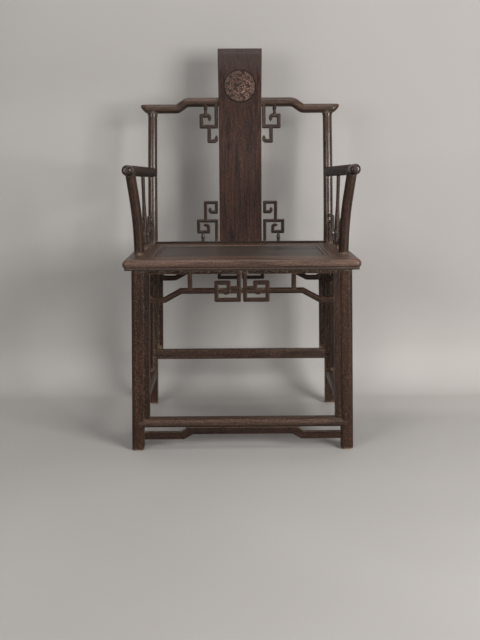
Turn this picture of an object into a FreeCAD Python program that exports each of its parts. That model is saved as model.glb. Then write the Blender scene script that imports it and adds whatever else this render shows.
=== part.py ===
import FreeCAD, Part
import math
import os

# Official hat chair of dark hardwood, in millimetres, +Z up.
# The chair faces -Y. It is drawn about the middle of its seat, and every piece is
# moved along Y at the end, so that the origin lies under the middle of the whole chair.

V = FreeCAD.Vector

# Driving dimensions
seat_width = 610.0
seat_depth = 465.0
seat_height = 512.0
seat_fall = 5.5
seat_thickness = 27.0
overall_height = 1079.5
leg_width = 32.0
leg_inset_side = 20.3
leg_inset_front = 22.5
leg_inset_back = 16.5
leg_splay_side = 11.0
leg_splay_depth = 12.0
post_diameter = 28.5
post_inset = 40.0
post_lean_in = 5.0
back_lean = 40.0
crest_height = 903.5
arm_height_back = 718.0
arm_height_front = 735.0
joint_clearance = 0.2
overrun = 20.0
same_place = 0.001

underside = seat_height - seat_thickness
LEFT, RIGHT = -1, 1
FRONT, BACK = -1, 1


# Small tools for outlines and solids, used by several pieces.

def box(x0, x1, y0, y1, z0, z1):
    """A block between two corners."""
    return Part.makeBox(x1 - x0, y1 - y0, z1 - z0, V(x0, y0, z0))


def rounded_wire(corners, radii):
    """A closed flat outline through the corners, each rounded to its own radius."""
    count = len(corners)
    starts, middles, ends = [], [], []
    for i, corner in enumerate(corners):
        back = corners[i - 1] - corner
        onward = corners[(i + 1) % count] - corner
        back.normalize()
        onward.normalize()
        half = back.getAngle(onward) / 2
        inward = back + onward
        reach = radii[i] / math.tan(half)
        starts.append(corner + back * reach)
        ends.append(corner + onward * reach)
        if radii[i] > 0:
            inward.normalize()
            middles.append(corner + inward * (radii[i] / math.sin(half) - radii[i]))
        else:
            middles.append(None)
    edges = []
    for i in range(count):
        if middles[i] is not None:
            edges.append(Part.Arc(starts[i], middles[i], ends[i]).toShape())
        edges.append(Part.LineSegment(ends[i], starts[(i + 1) % count]).toShape())
    return Part.Wire(edges)


def flat_solid(points, depth, radii=None):
    """An outline in the XZ plane, pushed back along +Y."""
    corners = [V(x, 0, z) for x, z in points]
    wire = rounded_wire(corners, radii or [0] * len(corners))
    return Part.Face(wire).extrude(V(0, depth, 0))


def circle_wire(center, direction, radius):
    """A circle square to a direction."""
    return Part.Wire([Part.Circle(center, direction, radius).toShape()])


def upright_member(stations):
    """A round post through stations of (center, radius), each of them level."""
    wires = [circle_wire(center, V(0, 0, 1), radius) for center, radius in stations]
    return Part.makeLoft(wires, True, True)


def pin(start, direction, radius, length):
    """A round tenon or hole."""
    return Part.makeCylinder(radius, length, start, direction)


def flipped(shape):
    """The same shape on the other side of the chair."""
    return shape.mirror(V(0, 0, 0), V(1, 0, 0))


def on_side(shape, side):
    """A piece drawn on the right, put on the side asked for."""
    return shape if side == RIGHT else flipped(shape)


def fused(first, *others):
    """Several shapes made one, with no seams left in flat faces."""
    return first.fuse(list(others)).removeSplitter()


def edges_on(shape, test):
    """The edges whose two ends and middle all pass a test."""
    found = []
    for edge in shape.Edges:
        first, last = edge.ParameterRange
        places = [edge.valueAt(t) for t in (first, (first + last) / 2, last)]
        if all(test(place) for place in places):
            found.append(edge)
    return found


def edges_along(shape, direction):
    """The straight edges that run along a direction."""
    found = []
    for edge in shape.Edges:
        run = edge.Vertexes[-1].Point - edge.Vertexes[0].Point
        if abs(run.dot(direction)) > run.Length - same_place:
            found.append(edge)
    return found


# The seat is drawn level, and then falls a little towards the back about its front edge.

def settled(shape):
    """A piece drawn for the level seat, turned down to lie with the real one."""
    turned = shape.copy()
    fall_angle = math.degrees(math.atan(seat_fall / seat_depth))
    turned.rotate(V(0, -seat_depth / 2, seat_height), V(1, 0, 0), -fall_angle)
    return turned


def seat_slab(low, high):
    """A block wider than the chair, between two levels of the seat, that lies with it."""
    return settled(box(-seat_width, seat_width, -seat_depth, seat_depth, low, high))


def seat_pin(place, diameter, length, grow=0.0):
    """A round tenon from the foot of a post into the seat, or its socket when grown."""
    return pin(V(place.x, place.y, seat_height), V(0, 0, -1), diameter / 2 + grow, seat_fall + length + grow)


# Fretwork: flat panels of square rods, drawn as paths that turn square corners.

fret_depth = 11.0
fret_ease = 2.6
fret_corner_radius = 4.0
curl_radius_share = 0.62
curl_sweep = math.radians(150)


def straight_rod(start, end, rod, depth):
    """One straight rod of a fret, which runs half its width past both ends."""
    along = V(end[0] - start[0], 0, end[1] - start[1])
    along.normalize()
    aside = V(-along.z, 0, along.x) * (rod / 2)
    first = V(start[0], 0, start[1]) - along * (rod / 2)
    last = V(end[0], 0, end[1]) + along * (rod / 2)
    corners = [first + aside, last + aside, last - aside, first - aside]
    return Part.Face(Part.makePolygon(corners + corners[:1])).extrude(V(0, depth, 0))


def curled_tip(before, end, turn, rod, depth):
    """The curled tip of a rod: part of a ring that turns up or down from its rod."""
    along = V(end[0] - before[0], 0, end[1] - before[1])
    along.normalize()
    aside = V(-along.z, 0, along.x) * turn
    ring = rod * curl_radius_share
    place = V(end[0], 0, end[1])
    center = place + aside * ring

    def at(radius, angle):
        return center - aside * (radius * math.cos(angle)) + along * (radius * math.sin(angle))

    inner, outer = ring - rod / 2, ring + rod / 2
    half = curl_sweep / 2
    edges = [
        Part.Arc(at(outer, 0), at(outer, half), at(outer, curl_sweep)).toShape(),
        Part.LineSegment(at(outer, curl_sweep), at(inner, curl_sweep)).toShape(),
        Part.Arc(at(inner, curl_sweep), at(inner, half), at(inner, 0)).toShape(),
        Part.LineSegment(at(inner, 0), at(outer, 0)).toShape(),
    ]
    return Part.Face(Part.Wire(edges)).extrude(V(0, depth, 0))


def outer_corner(before, corner, after, rod):
    """Where the outer edge of a rod lies as it turns a corner."""
    back = V(before[0] - corner[0], 0, before[1] - corner[1])
    onward = V(after[0] - corner[0], 0, after[1] - corner[1])
    back.normalize()
    onward.normalize()
    return V(corner[0], 0, corner[1]) - (back + onward) * (rod / 2)


def fret_panel(paths, width, height, rod, depth):
    """Rods along paths given as shares of a width and a height, with eased edges.

    A path is (points, turn), where turn curls its last end, or is 0 for a plain end.
    """
    rods = []
    turns = []
    for shares, turn in paths:
        points = [(u * width, w * height) for u, w in shares]
        for i in range(len(points) - 1):
            rods.append(straight_rod(points[i], points[i + 1], rod, depth))
        for i in range(1, len(points) - 1):
            turns.append(outer_corner(points[i - 1], points[i], points[i + 1], rod))
        if turn:
            rods.append(curled_tip(points[-2], points[-1], turn, rod, depth))
    panel = rods[0].fuse(rods[1:]).removeSplitter()
    outer = []
    for edge in edges_along(panel, V(0, 1, 0)):
        end = edge.Vertexes[0].Point
        if any((V(end.x, 0, end.z) - place).Length < same_place for place in turns):
            outer.append(edge)
    panel = panel.makeFillet(min(fret_corner_radius, rod / 2), outer)
    rims = edges_on(panel, lambda p: abs(p.y) < same_place)
    rims += edges_on(panel, lambda p: abs(p.y - depth) < same_place)
    return panel.makeChamfer(min(fret_ease, rod / 4), rims)


# Legs: round outside and square inside. The back ones go on up through the seat
# frame as round posts that lean back to the crest rail.

leg_outer_radius = 12.0
leg_edge_radius = 6.0
leg_inner_radius = 1.5
pad_thickness = 3.0
pad_inset = 1.5
front_tenon_width = 16.0
front_tenon_height = 18.0
post_top_diameter = 27.0
post_curve = 1.75
post_stations = 8
post_collar_diameter = 31.0
post_collar_height = 9.0
post_pin_diameter = 12.0
post_pin_reach = 8.0


def leg_center(side, end, z):
    """The middle of a leg at a height; it stands out as it goes down."""
    down = (underside - z) / underside
    inset = leg_inset_front if end == FRONT else leg_inset_back
    x = seat_width / 2 - leg_inset_side - leg_width / 2 + leg_splay_side * down
    y = seat_depth / 2 - inset - leg_width / 2 + leg_splay_depth * down
    return side * x, end * y


def leg_outline(side, end, z, inset=0.0):
    """A leg's section, with its large round corner to the outside."""
    cx, cy = leg_center(side, end, z)
    half = leg_width / 2 - inset
    signs = ((1, 1), (-1, 1), (-1, -1), (1, -1))
    corners = [V(cx + side * u * half, cy + end * v * half, z) for u, v in signs]
    return rounded_wire(corners, [leg_outer_radius, leg_edge_radius, leg_inner_radius, leg_edge_radius])


def leg_shaft(side, end):
    """A leg from its pad to the underside of the seat."""
    wires = [leg_outline(side, end, z) for z in (pad_thickness, underside)]
    return Part.makeLoft(wires, True, True).cut(seat_slab(underside, seat_height))


def post_center(z):
    """The middle of a right back post at a height above the seat."""
    up = max((z - seat_height) / (crest_height - seat_height), 0)
    x = seat_width / 2 - post_inset - post_lean_in * up
    y = leg_center(RIGHT, BACK, underside)[1] + back_lean * up ** post_curve
    return V(x, y, z)


def post_radius(z):
    """The radius of a back post, which thins as it goes up."""
    up = max((z - seat_height) / (crest_height - seat_height), 0)
    return (post_diameter + (post_top_diameter - post_diameter) * up) / 2


def post_shaft():
    """The right back post, from the seat frame up to the collar under the crest rail."""
    collar_top = crest_height - crest_diameter / 2
    collar_foot = collar_top - post_collar_height
    stations = []
    for i in range(post_stations + 1):
        z = seat_height + (collar_foot - seat_height) * i / post_stations
        stations.append((post_center(z), post_radius(z)))
    stations.append((post_center(collar_top), post_collar_diameter / 2))
    stations.append((post_center(crest_height), crest_diameter / 4))
    foot = post_center(seat_height)
    neck_foot = V(foot.x, foot.y, underside - overrun)
    neck = pin(neck_foot, V(0, 0, 1), post_diameter / 2, seat_thickness + overrun)
    neck = neck.cut(seat_slab(underside - 2 * overrun, underside))
    return neck.fuse(upright_member(stations))


# Crest rail: a stepped humpback rail of round section, with blunt tips past the posts.

crest_diameter = 27.0
crest_rise = 18.8
crest_overhang = 34.5
crest_step_outer = 186.0
crest_step_inner = 158.0
crest_low_bend = 17.0
crest_high_bend = 26.0
crest_tip_length = 18.5
crest_tip_places_shares = (0.0, 0.35, 0.80, 1.0)
crest_tip_size_shares = (1.0, 0.85, 0.52, 0.30)
crest_tip_lift_shares = (0.0, 0.13, 0.42, 0.54)


def crest_line():
    """The plane in which the crest rail lies."""
    return post_center(crest_height).y


def bent_path(corners, radii):
    """An open line through the corners, each inner one turned with its own radius."""
    edges = []
    start = corners[0]
    for i, radius in enumerate(radii, 1):
        back = corners[i - 1] - corners[i]
        onward = corners[i + 1] - corners[i]
        back.normalize()
        onward.normalize()
        half = back.getAngle(onward) / 2
        reach = radius / math.tan(half)
        inward = back + onward
        inward.normalize()
        first = corners[i] + back * reach
        last = corners[i] + onward * reach
        middle = corners[i] + inward * (radius / math.sin(half) - radius)
        edges.append(Part.LineSegment(start, first).toShape())
        edges.append(Part.Arc(first, middle, last).toShape())
        start = last
    edges.append(Part.LineSegment(start, corners[-1]).toShape())
    return Part.Wire(edges)


def crest_shaft():
    """The whole rail, before its housings are cut."""
    y = crest_line()
    end = post_center(crest_height).x + crest_overhang - crest_tip_length
    low, high = crest_height, crest_height + crest_rise
    outer, inner = crest_step_outer, crest_step_inner
    corners = [V(-end, y, low), V(-outer, y, low), V(-inner, y, high),
               V(inner, y, high), V(outer, y, low), V(end, y, low)]
    section = Part.Face(circle_wire(corners[0], V(1, 0, 0), crest_diameter / 2))
    bends = (crest_low_bend, crest_high_bend, crest_high_bend, crest_low_bend)
    rail = bent_path(corners, bends).makePipe(section)
    tips = []
    for side in (LEFT, RIGHT):
        wires = []
        stations = zip(crest_tip_places_shares, crest_tip_size_shares, crest_tip_lift_shares)
        for place, size, lift in stations:
            center = V(side * (end + crest_tip_length * place), y, low + crest_diameter / 2 * lift)
            wires.append(circle_wire(center, V(side, 0, 0), crest_diameter / 2 * size))
        tips.append(Part.makeLoft(wires, True, False))
    return rail.fuse(tips)


# Splat: one wide board in an S curve. It stands on the back rail, passes in front of
# the crest rail, where it is let in, and rolls back at its top like a scroll.

splat_width = 126.0
splat_top_width = 131.0
splat_thickness = 12.0
splat_height_shares = (0.0, 0.17, 0.36, 0.54, 0.70, 0.86, 1.0)
splat_lean_shares = (0.0, 0.10, 0.16, 0.30, 0.52, 0.80, 1.08)
splat_foot_forward = 5.0
splat_housing = 4.0
splat_tenon_share = 0.9
splat_tenon_thickness = 7.0
splat_tenon_height = 16.0
scroll_radius = 30.0
scroll_rise_share = 0.84
scroll_sweep = math.radians(150)
medallion_diameter = 95.0
medallion_height = 968.0
medallion_ring = 2.0
medallion_depth = 1.2


def scroll_start():
    """Height at which the board turns into its scroll."""
    return overall_height - scroll_radius * scroll_rise_share


def splat_reach():
    """How far the board's middle lies behind its foot where it meets the crest rail."""
    foot = splat_foot()
    crest_middle = crest_line() - crest_diameter / 2 - splat_thickness / 2 + splat_housing
    return crest_middle - foot


def splat_foot():
    """The board's middle plane where it stands on the back rail."""
    return post_center(seat_height).y - splat_foot_forward


def splat_points(offset):
    """Points up one face of the board, at an offset from its middle plane."""
    top = scroll_start()
    crest_share = (crest_height + crest_rise - seat_height) / (top - seat_height)
    points = []
    for height, lean in zip(splat_height_shares, splat_lean_shares):
        z = seat_height + (top - seat_height) * height
        y = splat_foot() + splat_reach() * lean * splat_top_lean(crest_share)
        points.append(V(0, y + offset, z))
    return points


def splat_top_lean(crest_share):
    """Scale that puts the board's curve in the crest rail's housing."""
    for i in range(len(splat_height_shares) - 1):
        low, high = splat_height_shares[i], splat_height_shares[i + 1]
        if low <= crest_share <= high:
            t = (crest_share - low) / (high - low)
            lean = splat_lean_shares[i] * (1 - t) + splat_lean_shares[i + 1] * t
            return 1 / lean
    return 1.0


def splat_board():
    """The board in side view, pushed out to its width and trimmed to its flare."""
    front = splat_points(-splat_thickness / 2)
    back = splat_points(splat_thickness / 2)
    front_curve = Part.BSplineCurve()
    front_curve.interpolate(front)
    back_curve = Part.BSplineCurve()
    back_curve.interpolate(back)
    rise = front_curve.tangent(front_curve.LastParameter)[0]
    rise.normalize()
    inward = V(0, rise.z, -rise.y)
    end_front = front[-1]
    end_back = back[-1]
    center = end_front + inward * scroll_radius
    inner = (end_back - center).Length

    def at(radius, angle):
        return center - inward * (radius * math.cos(angle)) + rise * (radius * math.sin(angle))

    half = scroll_sweep / 2
    outer_end = at(scroll_radius, scroll_sweep)
    inner_end = at(inner, scroll_sweep)
    outward = (outer_end - inner_end) / 2
    turn = rise * math.cos(scroll_sweep) + inward * math.sin(scroll_sweep)
    cap = (outer_end + inner_end) / 2 + turn * outward.Length
    edges = [
        front_curve.toShape(),
        Part.Arc(end_front, at(scroll_radius, half), outer_end).toShape(),
        Part.Arc(outer_end, cap, inner_end).toShape(),
        Part.Arc(inner_end, at(inner, half), end_back).toShape(),
        back_curve.toShape(),
        Part.LineSegment(back[0], front[0]).toShape(),
    ]
    side_face = Part.Face(Part.Wire(Part.__sortEdges__(edges)))
    side_face.translate(V(-splat_top_width / 2, 0, 0))
    board = side_face.extrude(V(splat_top_width, 0, 0))
    half_low, half_high = splat_width / 2, splat_top_width / 2
    outline = [(-half_low, seat_height), (half_low, seat_height), (half_low, crest_height),
               (half_high, overall_height), (-half_high, overall_height), (-half_low, crest_height)]
    trim = flat_solid(outline, seat_depth)
    trim.translate(V(0, splat_foot() - seat_depth / 2, 0))
    return board.common(trim)


def splat_front(z):
    """A point of the board's front face and the way that it faces there."""
    curve = Part.BSplineCurve()
    curve.interpolate(splat_points(-splat_thickness / 2))
    line = curve.toShape()
    plane = Part.makePlane(seat_depth * 2, seat_depth * 2, V(-seat_depth, -seat_depth, z), V(0, 0, 1))
    place = line.distToShape(plane)[1][0][0]
    rise = curve.tangent(curve.parameter(place))[0]
    rise.normalize()
    return place, V(0, -rise.z, rise.y)


def make_splat():
    """The board with its tenon, and the ring that frames the carved medallion."""
    foot = splat_foot()
    half = splat_width * splat_tenon_share / 2
    thick = splat_tenon_thickness / 2
    tenon = box(-half, half, foot - thick, foot + thick, seat_height - splat_tenon_height, seat_height)
    place, facing = splat_front(medallion_height)
    outer = pin(place - facing * medallion_depth, facing, medallion_diameter / 2, overrun)
    inner = pin(place - facing * medallion_depth, facing, medallion_diameter / 2 - medallion_ring, overrun)
    ring = outer.cut(inner)
    return splat_board().cut(ring).fuse(tenon).removeSplitter()


def splat_mortise():
    """The slot in the back rail that takes the board's tenon."""
    foot = splat_foot()
    half = splat_width * splat_tenon_share / 2 + joint_clearance
    thick = splat_tenon_thickness / 2 + joint_clearance
    floor = seat_height - splat_tenon_height - joint_clearance
    return box(-half, half, foot - thick, foot + thick, floor, seat_height + overrun)


# Arms: round bars from the back posts to blunt tips, on goose-neck posts in front
# and slender spindles half way.

arm_diameter = 28.0
arm_tip_radius = 9.0
arm_tip_inset = 12.0
arm_tip_setback = 60.5
arm_pin_diameter = 12.0
arm_pin_length = 9.0
arm_post_diameter = 27.0
arm_post_inset = 31.0
arm_post_setback = 131.5
arm_post_lean = 27.0
arm_post_bend = 2.6
arm_post_stations = 8
arm_post_pin_diameter = 16.0
arm_post_pin_length = 13.0
spindle_inset = 32.5
spindle_setback = 284.5
spindle_top_diameter = 10.6
spindle_waist_diameter = 9.5
spindle_belly_diameter = 15.0
spindle_foot_diameter = 11.0
spindle_belly_share = 0.26
spindle_waist_share = 0.66
spindle_stations = 10
spindle_pin_diameter = 7.0
spindle_pin_length = 9.0


def seat_place(inset, setback):
    """A place on the right side of the level seat, by its distances from two edges."""
    return V(seat_width / 2 - inset, setback - seat_depth / 2, seat_height)


def arm_axis(t):
    """A place on the right arm's axis, from the back post (0) to the tip (1)."""
    back = post_center(arm_height_back)
    tip = seat_place(arm_tip_inset, arm_tip_setback)
    tip.z = arm_height_front
    return back + (tip - back) * t


def arm_axis_at(y):
    """The place on the right arm's axis that lies over a line across the chair."""
    back, tip = arm_axis(0), arm_axis(1)
    return arm_axis((back.y - y) / (back.y - tip.y))


def arm_shaft():
    """The right arm, from the middle of the back post to its domed tip."""
    back, tip = arm_axis(0), arm_axis(1)
    bar = Part.makeCylinder(arm_diameter / 2, (tip - back).Length, back, tip - back)
    tips = edges_on(bar, lambda p: (p - tip).Length < arm_diameter)
    return bar.makeFillet(arm_tip_radius, [edge for edge in tips if edge.Closed])


def arm_post_foot():
    """Where the right goose-neck post stands on the level seat."""
    return seat_place(arm_post_inset, arm_post_setback)


def arm_post_shaft():
    """The right goose-neck post, upright at its foot and leaning more as it goes up."""
    foot = arm_post_foot()
    top = arm_axis_at(foot.y - arm_post_lean)
    low = seat_height - seat_fall
    stations = []
    for i in range(arm_post_stations + 1):
        up = i / arm_post_stations
        lean = up ** (arm_post_bend - up)
        place = V(foot.x + (top.x - foot.x) * lean,
                  foot.y + (top.y - foot.y) * lean,
                  low + (top.z - low) * up)
        stations.append((place, arm_post_diameter / 2))
    return upright_member(stations).cut(seat_slab(underside, seat_height))


def spindle_foot():
    """Where the right spindle stands on the level seat."""
    return seat_place(spindle_inset, spindle_setback)


def spindle_size(up):
    """The diameter of a spindle at a share of its height: foot, belly, waist and top."""
    knots = [(0, spindle_foot_diameter), (spindle_belly_share, spindle_belly_diameter),
             (spindle_waist_share, spindle_waist_diameter), (1, spindle_top_diameter)]
    for (low, below), (high, above) in zip(knots, knots[1:]):
        if up <= high:
            ease = (1 - math.cos(math.pi * (up - low) / (high - low))) / 2
            return below + (above - below) * ease
    return spindle_top_diameter


def spindle_shaft():
    """A slender turned spindle, fullest low down, from the seat into the arm."""
    foot = spindle_foot() - V(0, 0, seat_fall)
    top = arm_axis_at(foot.y)
    stations = []
    for i in range(spindle_stations + 1):
        up = i / spindle_stations
        stations.append((foot + (top - foot) * up, spindle_size(up) / 2))
    return upright_member(stations).cut(seat_slab(underside, seat_height))


# Seat: four rails mitred at the corners, with a round nose outside and a groove
# inside for a floating panel, which two battens hold flat from below.

side_rail_width = 85.0
front_rail_width = 92.0
back_rail_width = 108.0
nose_height = 24.0
nose_lip_inset = 4.0
corner_radius = 14.0
nose_radius = 11.5
panel_groove_depth = 8.0
panel_groove_height = 7.0
panel_drop = 1.0
panel_thickness = 12.0
panel_edge_ease = 1.5
bead_width = 9.5
bead_line_width = 1.6
bead_line_depth = 1.2
batten_width = 34.0
batten_height = 10.0
batten_place_share = 0.5
back_strip_margin = 1.5


def opening_box(margin, low, high):
    """A block that fills the opening in the seat frame, wider by a margin all round."""
    half = seat_width / 2 - side_rail_width + margin
    return box(-half, half, front_rail_width - seat_depth / 2 - margin,
               seat_depth / 2 - back_rail_width + margin, low, high)


def seat_blank():
    """The seat frame before it is parted into rails."""
    half_x, half_y = seat_width / 2, seat_depth / 2
    low = seat_height - nose_height
    nose = box(-half_x, half_x, -half_y, half_y, low, seat_height)
    nose = nose.makeFillet(corner_radius, edges_along(nose, V(0, 0, 1)))
    rims = edges_on(nose, lambda p: abs(p.z - seat_height) < same_place)
    rims += edges_on(nose, lambda p: abs(p.z - low) < same_place)
    nose = nose.makeFillet(nose_radius, rims)
    lip_x, lip_y = half_x - nose_lip_inset, half_y - nose_lip_inset
    lip = box(-lip_x, lip_x, -lip_y, lip_y, underside, low + nose_radius / 4)
    lip = lip.makeFillet(corner_radius - nose_lip_inset, edges_along(lip, V(0, 0, 1)))
    opening = opening_box(0, underside - overrun, seat_height + overrun)
    groove_top = seat_height - panel_drop - (panel_thickness - panel_groove_height)
    groove = opening_box(panel_groove_depth, groove_top - panel_groove_height, groove_top)
    line_low = seat_height - bead_line_depth
    line = opening_box(bead_width + bead_line_width, line_low, seat_height + overrun)
    line = line.cut(opening_box(bead_width, line_low - overrun, seat_height + 2 * overrun))
    return nose.fuse(lip).removeSplitter().cut([opening, groove, line])


rail_corners = {
    "front": ((LEFT, FRONT), (RIGHT, FRONT)),
    "back": ((LEFT, BACK), (RIGHT, BACK)),
    "left": ((LEFT, FRONT), (LEFT, BACK)),
    "right": ((RIGHT, FRONT), (RIGHT, BACK)),
}


def mitre_ends(side, end):
    """Two places on a mitre line: just outside the seat and just inside its opening."""
    corner = V(side * seat_width / 2, end * seat_depth / 2, underside - overrun)
    rail_width = front_rail_width if end == FRONT else back_rail_width
    across = V(side * side_rail_width, end * rail_width, 0)
    extra = across * (overrun / side_rail_width)
    return corner + extra, corner - across - extra


def rail_share(name):
    """The wedge of the seat that one rail fills, out to the mitres."""
    first_out, first_in = mitre_ends(*rail_corners[name][0])
    last_out, last_in = mitre_ends(*rail_corners[name][1])
    corners = [first_out, last_out, last_in, first_in]
    face = Part.Face(Part.makePolygon(corners + corners[:1]))
    return face.extrude(V(0, 0, seat_thickness + 2 * overrun))


def seat_sockets():
    """Every hole in the seat frame, for the posts, tenons and pins that it takes."""
    holes = [splat_mortise()]
    for side in (LEFT, RIGHT):
        foot = post_center(seat_height)
        through = pin(V(foot.x, foot.y, underside - overrun), V(0, 0, 1),
                      post_diameter / 2, seat_thickness + 2 * overrun)
        holes.append(on_side(through, side))
        cx, cy = leg_center(RIGHT, FRONT, underside)
        half = front_tenon_width / 2 + joint_clearance
        holes.append(on_side(box(cx - half, cx + half, cy - half, cy + half, underside - overrun,
                                 underside + front_tenon_height + joint_clearance), side))
        holes.append(on_side(seat_pin(arm_post_foot(), arm_post_pin_diameter, arm_post_pin_length,
                                      joint_clearance), side))
        holes.append(on_side(seat_pin(spindle_foot(), spindle_pin_diameter, spindle_pin_length,
                                      joint_clearance), side))
    return holes


def make_back_strip(post):
    """The low strip from post to post that carries the splat and the standing frets."""
    half = splat_thickness / 2 + back_strip_margin
    reach = post_center(seat_height).x
    strip = box(-reach, reach, splat_foot() - half, splat_foot() + half, underside, seat_height)
    return strip.cut([seat_slab(underside - overrun, seat_height), splat_mortise(), post, flipped(post)])


def make_seat():
    """The four rails, the panel and its two battens."""
    blank = settled(seat_blank()).cut(seat_sockets())
    pieces = {}
    for name in rail_corners:
        pieces["seat_" + name + "_rail"] = blank.common(rail_share(name))
    gap = joint_clearance
    top = seat_height - panel_drop
    low = top - panel_thickness
    board = opening_box(-gap, low, top)
    board = board.makeChamfer(panel_edge_ease, edges_on(board, lambda p: abs(p.z - top) < same_place))
    tongue = opening_box(panel_groove_depth - gap, low + gap, low + panel_groove_height - gap)
    pieces["seat_panel"] = settled(board.fuse(tongue).removeSplitter())
    middle = (seat_width / 2 - side_rail_width) * batten_place_share
    under = opening_box(0, low - batten_height, low)
    keep = box(middle - batten_width / 2, middle + batten_width / 2, -seat_depth, seat_depth, 0, seat_height)
    pieces["seat_right_batten"] = settled(under.common(keep))
    pieces["seat_left_batten"] = flipped(pieces["seat_right_batten"])
    return pieces


# Foot stretchers rise step by step: the front one lowest, the sides higher, the back
# highest. The front one laps the legs with pointed shoulders, over a humpback strip.

front_stretcher_top = 87.0
front_stretcher_height = 24.6
front_stretcher_depth = 28.0
front_stretcher_proud = 1.2
shoulder_tip_inset = 17.0
shoulder_depth = 8.0
shoulder_drop_share = 0.55
side_stretcher_top = 112.5
side_stretcher_height = 32.0
side_stretcher_width = 26.0
side_stretcher_round = 9.0
back_stretcher_top = 176.5
back_stretcher_height = 29.7
back_stretcher_depth = 20.0
back_stretcher_round = 3.0
tenon_width = 10.0
tenon_length = 16.0
tenon_height_share = 0.6
strip_low_bottom = 30.0
strip_low_height = 19.0
strip_high_height = 18.5
strip_depth = 12.0
strip_recess = 6.0
strip_step_outer = 156.0
strip_step_inner = 132.0


def stretcher_tenon(side, end, along_x, z_middle, height, grow=0.0):
    """The tenon of a stretcher in the middle of one leg, or its mortise when grown."""
    cx, cy = leg_center(side, end, z_middle)
    half_w = tenon_width / 2 + grow
    half_h = height * tenon_height_share / 2 + grow
    reach = tenon_length + grow
    face = leg_width / 2 + overrun
    if along_x:
        inner = cx - side * face
        tip = cx - side * (leg_width / 2 - reach)
        return box(min(inner, tip), max(inner, tip), cy - half_w, cy + half_w,
                   z_middle - half_h, z_middle + half_h)
    inner = cy - end * face
    tip = cy - end * (leg_width / 2 - reach)
    return box(cx - half_w, cx + half_w, min(inner, tip), max(inner, tip),
               z_middle - half_h, z_middle + half_h)


def front_face(z):
    """The plane of the front legs' front faces at a height."""
    return leg_center(RIGHT, FRONT, z)[1] - leg_width / 2


def front_stretcher_tip():
    """How far the points of the front stretcher's shoulders reach from the middle."""
    middle = front_stretcher_top - front_stretcher_height / 2
    return leg_center(RIGHT, FRONT, middle)[0] + leg_width / 2 - shoulder_tip_inset


def front_stretcher_bar():
    """The front stretcher's section, half round in front, run past both shoulders."""
    top = front_stretcher_top
    low = top - front_stretcher_height
    front = front_face((top + low) / 2) - front_stretcher_proud
    radius = front_stretcher_height / 2
    back = front + front_stretcher_depth
    reach = -front_stretcher_tip()
    nose = Part.Arc(V(reach, front + radius, top), V(reach, front, top - radius),
                    V(reach, front + radius, low))
    edges = [nose.toShape(),
             Part.LineSegment(V(reach, front + radius, low), V(reach, back, low)).toShape(),
             Part.LineSegment(V(reach, back, low), V(reach, back, top)).toShape(),
             Part.LineSegment(V(reach, back, top), V(reach, front + radius, top)).toShape()]
    return Part.Face(Part.Wire(edges)).extrude(V(-2 * reach, 0, 0)), front


def front_shoulder():
    """The part of the front stretcher that laps the legs, ending in a point."""
    bar, front = front_stretcher_bar()
    top = front_stretcher_top
    low = top - front_stretcher_height
    middle = top - front_stretcher_height * shoulder_drop_share
    inner_top = leg_center(RIGHT, FRONT, top)[0] - leg_width / 2
    inner_low = leg_center(RIGHT, FRONT, low)[0] - leg_width / 2
    tip = front_stretcher_tip()
    outline = [(-tip, middle), (-inner_top, top), (inner_top, top),
               (tip, middle), (inner_low, low), (-inner_low, low)]
    mask = flat_solid(outline, shoulder_depth + overrun)
    mask.translate(V(0, front - overrun, 0))
    return bar.common(mask)


def make_front_stretcher(legs):
    """The front stretcher with its shoulders and its tenons."""
    bar, front = front_stretcher_bar()
    top = front_stretcher_top
    low = top - front_stretcher_height
    behind = box(-seat_width, seat_width, front + shoulder_depth, front + front_stretcher_depth + overrun,
                 low - overrun, top + overrun)
    body = bar.common(behind).cut(legs)
    middle = body.Solids[0]
    for solid in body.Solids:
        if solid.Volume > middle.Volume:
            middle = solid
    tenons = [stretcher_tenon(side, FRONT, True, (top + low) / 2, front_stretcher_height)
              for side in (LEFT, RIGHT)]
    return fused(middle, front_shoulder(), *tenons)


def make_back_stretcher(legs):
    """The back stretcher, flush with the legs' inner faces, with its tenons."""
    top = back_stretcher_top
    low = top - back_stretcher_height
    cx, cy = leg_center(RIGHT, BACK, (top + low) / 2)
    front = cy - leg_width / 2
    bar = box(-cx, cx, front, front + back_stretcher_depth, low, top)
    bar = bar.makeFillet(back_stretcher_round, edges_along(bar, V(1, 0, 0))).cut(legs)
    tenons = [stretcher_tenon(side, BACK, True, (top + low) / 2, back_stretcher_height)
              for side in (LEFT, RIGHT)]
    return fused(bar, *tenons)


def make_side_stretcher(side, legs):
    """A side stretcher, rounded along its edges, with its tenons."""
    top = side_stretcher_top
    low = top - side_stretcher_height
    middle = (top + low) / 2
    cx, front = leg_center(RIGHT, FRONT, middle)
    back = leg_center(RIGHT, BACK, middle)[1]
    half = side_stretcher_width / 2
    bar = box(cx - half, cx + half, front, back, low, top)
    bar = bar.makeFillet(side_stretcher_round, edges_along(bar, V(0, 1, 0)))
    bar = on_side(bar, side).cut(legs)
    tenons = [stretcher_tenon(side, end, False, middle, side_stretcher_height) for end in (FRONT, BACK)]
    return fused(bar, *tenons)


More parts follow.
